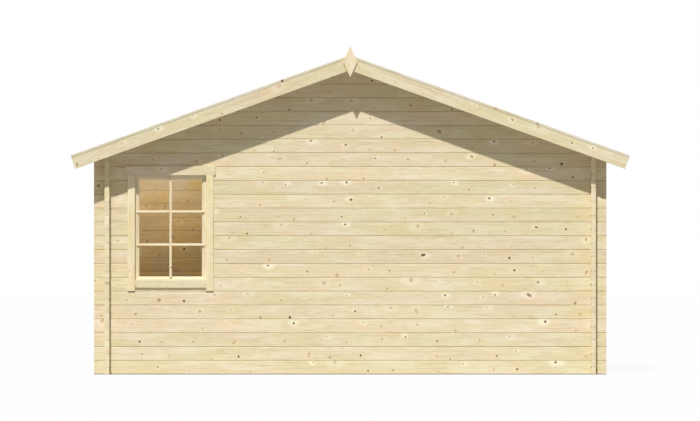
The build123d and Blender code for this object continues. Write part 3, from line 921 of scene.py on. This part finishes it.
def addRose(name, z, recess):
    # a turned disc, with a sunk middle round the lock
    radius, height = handle[name]
    front = handleLow.y + handle["plate"][1] + height
    depth = height + handle["sunk"]
    rose = addRound(name, radius, depth, (handle["x"], front - depth / 2, z))
    pick(rose, "FACE", lambda centre, normal: normal.y > flat)
    bpy.ops.mesh.bevel(offset=handle["roseEdge"], segments=2, affect="EDGES")
    if recess:
        bpy.ops.mesh.inset(thickness=radius * 0.45, depth=0)
        bpy.ops.transform.translate(value=(0, -recess, 0))
    bpy.ops.object.mode_set(mode="OBJECT")
    return rose


def lockSlot():
    width, depth, height = handle["slot"]
    x, z = handle["x"], handle["z"] - handle["lockDrop"]
    recess = handleLow.y + handle["plate"][1] + handle["lockRose"][1] - handle["lockRecess"]
    front = recess + handle["slotProud"]
    corners = (x - width / 2, front - depth, z - height / 2), (x + width / 2, front, z + height / 2)
    return addBlock("lockSlot", *corners, handle["slotEdge"])


def addHandle():
    parts = [
        addPlate(),
        addLever(),
        addRose("leverRose", handle["z"], 0),
        addRose("lockRose", handle["z"] - handle["lockDrop"], handle["lockRecess"]),
    ]
    finishPiece(joinPieces(parts, "leverHandle"), satinSteel, "handle_steel", "door_handle", smooth=35)
    finishPiece(lockSlot(), blackSteel, "handle_steel")


addHandle()
print("handle made")


# Screws in the casings and barge boards

screws = {
    "radius": 0.0032,
    "thickness": 0.002,
    "proud": 0.0006,
    "segments": 12,
    "rim": 0.0016,  # round the sunk drive
    "drive": 0.0008,  # its depth
    "windowHead": 0.27,  # from the middle of the window
    "windowSill": 0.243,
    "windowSides": (0.05, 0.36, 0.67, 0.95),  # shares of a casing's length
    "doorCasings": (0.03, 0.22, 0.41, 0.59, 0.78, 0.97),
    "alongBarge": (0.16, 0.68, 1.48, 2.10, 2.70),
    "belowRidge": (0.03, 0.085),  # the two rows in a barge board, from its top edge
}


def modelScrew():
    # a flat head with a small sunk drive
    place = (0, 0, 0)
    screw = addRound("screw", screws["radius"], screws["thickness"], place, vertices=screws["segments"])
    pick(screw, "FACE", lambda centre, normal: normal.y < -flat)
    bpy.ops.mesh.inset(thickness=screws["rim"], depth=0)
    bpy.ops.transform.translate(value=(0, screws["drive"], 0))
    bpy.ops.object.mode_set(mode="OBJECT")
    return screw


def windowScrews():
    # each place, and -1 for a screw that looks to the window end, 1 to the door end
    names = ("window_head_casing", "window_side_casings", "window_sill_board")
    head, sides, sill = (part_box(name) for name in names)
    places = []
    for side in (-1, 1):
        x = windowMiddle + side * screws["windowHead"]
        places.append((x, head[0].y, (head[0].z + head[1].z) / 2, -1))
        x = windowMiddle + side * screws["windowSill"]
        places.append((x, sill[0].y, (sill[0].z + sill[1].z) / 2, -1))
    for x in (sides[0].x + casings["windowSide"] / 2, sides[1].x - casings["windowSide"] / 2):
        for share in screws["windowSides"]:
            places.append((x, sides[0].y, sides[0].z + share * (sides[1].z - sides[0].z), -1))
    return places


def doorScrews():
    head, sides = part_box("door_head_casing"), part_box("door_side_casings")
    places = []
    for share in screws["doorCasings"]:
        x = head[0].x + share * (head[1].x - head[0].x)
        places.append((x, head[1].y, (head[0].z + head[1].z) / 2, 1))
        for x in (sides[0].x + casings["doorSide"] / 2, sides[1].x - casings["doorSide"] / 2):
            places.append((x, sides[1].y, sides[0].z + share * (sides[1].z - sides[0].z), 1))
    return places


def bargeScrews():
    places = []
    for end, side in (("window", -1), ("door", 1)):
        low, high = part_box(end + "_end_right_barge_board")
        face = low.y if side < 0 else high.y
        for along in screws["alongBarge"]:
            for below in screws["belowRidge"]:
                x = along * math.cos(roofPitch) - below * math.sin(roofPitch)
                z = roofHigh.z - along * math.sin(roofPitch) - below * math.cos(roofPitch)
                places += [(x, face, z, side), (-x, face, z, side)]
    return places


def addScrews():
    screw = modelScrew()
    copies = []
    for x, y, z, side in windowScrews() + doorScrews() + bargeScrews():
        offset = (x, y + side * (screws["proud"] - screws["thickness"] / 2), z)
        copies.append(copyTo(screw, offset))
        if side > 0:
            pick(copies[-1], "VERT", lambda place: True)
            bpy.ops.transform.rotate(value=math.pi, orient_axis="Z", center_override=offset)
            bpy.ops.object.mode_set(mode="OBJECT")
    bpy.data.objects.remove(screw)
    finishPiece(joinPieces(copies, "screws"), screwSteel, "trim_wood", smooth=35)


addScrews()
print("screws made")


# Light, floor and camera

stage = {
    "sunStrength": 2.85,
    "sunAngle": 1.2,  # degrees
    "sunPlace": (-3, -12, 14),
    "sunTravel": (0.169, 1.0, -1.093),  # the way that its light goes
    "skyStrength": 0.30,
    "skyColour": (0.94, 0.97, 1.06),
    "roomPower": 17.5,  # watts, inside, so that the far wall shows through the panes
    "roomColour": (1.0, 0.92, 0.76),
    "roomPlace": (-1.78, 1.81, 2.10),
    "roomRadius": 0.1,
    "floorColour": 0.45,  # as the light finds it
    "floorSeen": 0.85,  # as the camera finds it
    "floorShare": 0.95,  # how much of that is plain white
    "floorSize": 130.0,
    "roomHalfWidth": 2.33,
    "roomFloor": 0.30,  # the same floor under the roof, plain to the camera too
}


def addFloor():
    bpy.ops.object.select_all(action="DESELECT")
    bpy.ops.mesh.primitive_plane_add(size=stage["floorSize"], location=(0, 0, 0))
    floor = bpy.context.object
    floor.name = "floor"
    material = bpy.data.materials.new("floor")
    material.use_nodes = True
    tree = material.node_tree
    tree.nodes.clear()
    output = tree.nodes.new("ShaderNodeOutputMaterial")
    diffuse = tree.nodes.new("ShaderNodeBsdfDiffuse")
    glow = tree.nodes.new("ShaderNodeEmission")
    path = tree.nodes.new("ShaderNodeLightPath")
    mix = tree.nodes.new("ShaderNodeMixShader")
    # between the walls the floor is dull, so that it doesn't shine through the panes
    x, y, z = grainAxes(tree, "Object", "XYZ", 0.0)
    outside = calc(tree, "GREATER_THAN", calc(tree, "ABSOLUTE", x), stage["roomHalfWidth"])
    beyond = calc(tree, "GREATER_THAN", calc(tree, "ABSOLUTE", y), leafLow.y)
    underSky = calc(tree, "MAXIMUM", outside, beyond)
    seen = calc(tree, "MULTIPLY", path.outputs["Is Camera Ray"], underSky)
    lit, shown, room = ((stage[key],) * 3 for key in ("floorColour", "floorSeen", "roomFloor"))
    ground = blendColours(tree, underSky, room, blendColours(tree, seen, lit, shown))
    tree.links.new(ground, diffuse.inputs["Color"])
    tree.links.new(calc(tree, "MULTIPLY", seen, stage["floorShare"]), mix.inputs[0])
    tree.links.new(diffuse.outputs[0], mix.inputs[1])
    tree.links.new(glow.outputs[0], mix.inputs[2])
    tree.links.new(mix.outputs[0], output.inputs["Surface"])
    floor.data.materials.append(material)


def addSun():
    bpy.ops.object.light_add(type="SUN", location=stage["sunPlace"])
    sun = bpy.context.object
    sun.name = "sun"
    sun.data.energy = stage["sunStrength"]
    sun.data.angle = math.radians(stage["sunAngle"])
    sun.rotation_mode = "QUATERNION"
    sun.rotation_quaternion = Vector(stage["sunTravel"]).to_track_quat("-Z", "Y")


def addRoomLight():
    bpy.ops.object.light_add(type="POINT", location=stage["roomPlace"])
    room = bpy.context.object
    room.name = "roomLight"
    room.data.energy = stage["roomPower"]
    room.data.color = stage["roomColour"]
    room.data.shadow_soft_size = stage["roomRadius"]


def addSky():
    # white to the camera, dimmer and a little cooler as a light
    world = bpy.data.worlds.new("sky")
    world.use_nodes = True
    tree = world.node_tree
    background = tree.nodes["Background"]
    path = tree.nodes.new("ShaderNodeLightPath")
    seen = calc(tree, "MAXIMUM", path.outputs["Is Camera Ray"], path.outputs["Is Transmission Ray"])
    seen = calc(tree, "MAXIMUM", seen, path.outputs["Is Glossy Ray"])
    strength = calc(tree, "MULTIPLY_ADD", seen, 1.0 - stage["skyStrength"], stage["skyStrength"])
    tree.links.new(strength, background.inputs["Strength"])
    tree.links.new(blendColours(tree, seen, stage["skyColour"], (1, 1, 1)), background.inputs["Color"])
    bpy.context.scene.world = world


view = {
    "imageWidth": 700,
    "imageHeight": 421,
    "metresPerPixel": 0.009608,  # at the gable wall
    "middle": 350.2,  # pixel column of the ridge
    "ground": 374.5,  # pixel row of the foot of the wall
    "lens": 1000.0,
    "sensor": 36.0,
    "eyeHeight": 2.95,
}


def addCamera():
    width = view["imageWidth"] * view["metresPerPixel"]
    distance = view["lens"] / view["sensor"] * width
    x = (view["imageWidth"] / 2 - view["middle"]) * view["metresPerPixel"]
    aim = (view["ground"] - view["imageHeight"] / 2) * view["metresPerPixel"]
    tilt = math.atan2(view["eyeHeight"] - aim, distance)
    place = (x, wallLow.y - distance, view["eyeHeight"])
    bpy.ops.object.camera_add(location=place, rotation=(math.pi / 2 - tilt, 0, 0))
    camera = bpy.context.object
    camera.data.lens = view["lens"]
    camera.data.sensor_width = view["sensor"]
    camera.data.clip_start = 1.0
    camera.data.clip_end = distance * 2
    bpy.context.scene.camera = camera


addFloor()
addSun()
addRoomLight()
addSky()
addCamera()
bpy.context.scene.view_settings.view_transform = "Standard"
print("stage set")
